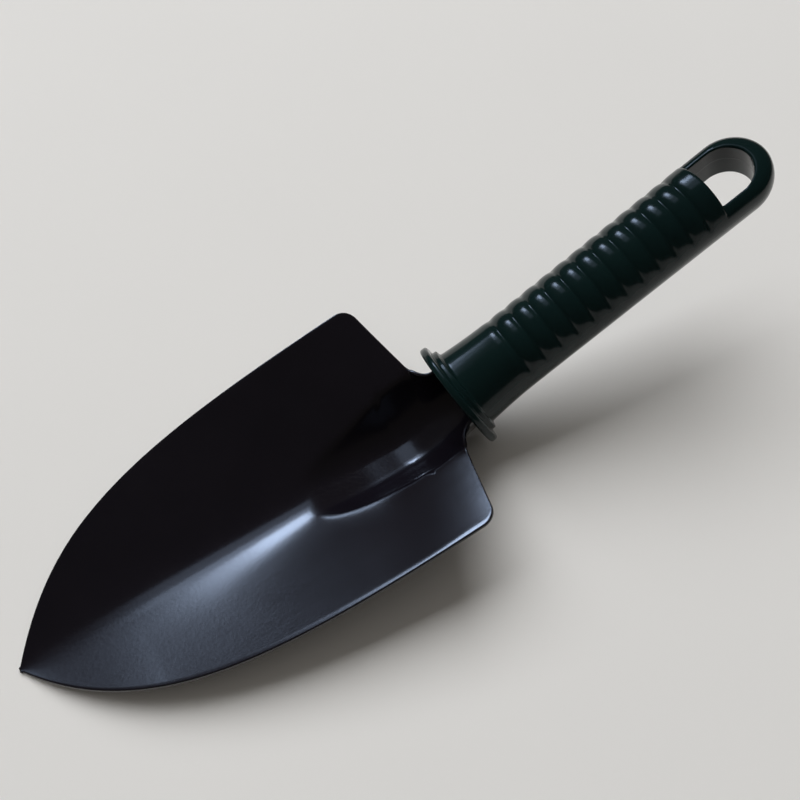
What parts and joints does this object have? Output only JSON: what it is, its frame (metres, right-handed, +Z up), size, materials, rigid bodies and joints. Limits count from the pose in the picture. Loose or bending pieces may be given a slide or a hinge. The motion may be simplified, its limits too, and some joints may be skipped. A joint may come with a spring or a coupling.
{
  "type": "hand trowel",
  "caption": "Garden hand trowel with a dished, pointed steel blade, a channelled neck and a ribbed plastic handle with a guard and a hanging loop.",
  "frame": {"origin": "on the resting surface, under the middle of the trowel's overall box", "axes": "+X from the blade's tip to the handle's loop, +Z up with the blade's hollow facing up, Y across; the XZ plane is the plane of symmetry"},
  "size_m": [0.2719, 0.0906, 0.0701],
  "materials": {
    "blade_paint": "smooth satin-gloss black paint on pressed steel",
    "handle_plastic": "glossy very dark green moulded plastic"
  },
  "bodies": {
    "root": {"blade": "blade_paint", "handle": "handle_plastic"}
  },
  "joints": []
}
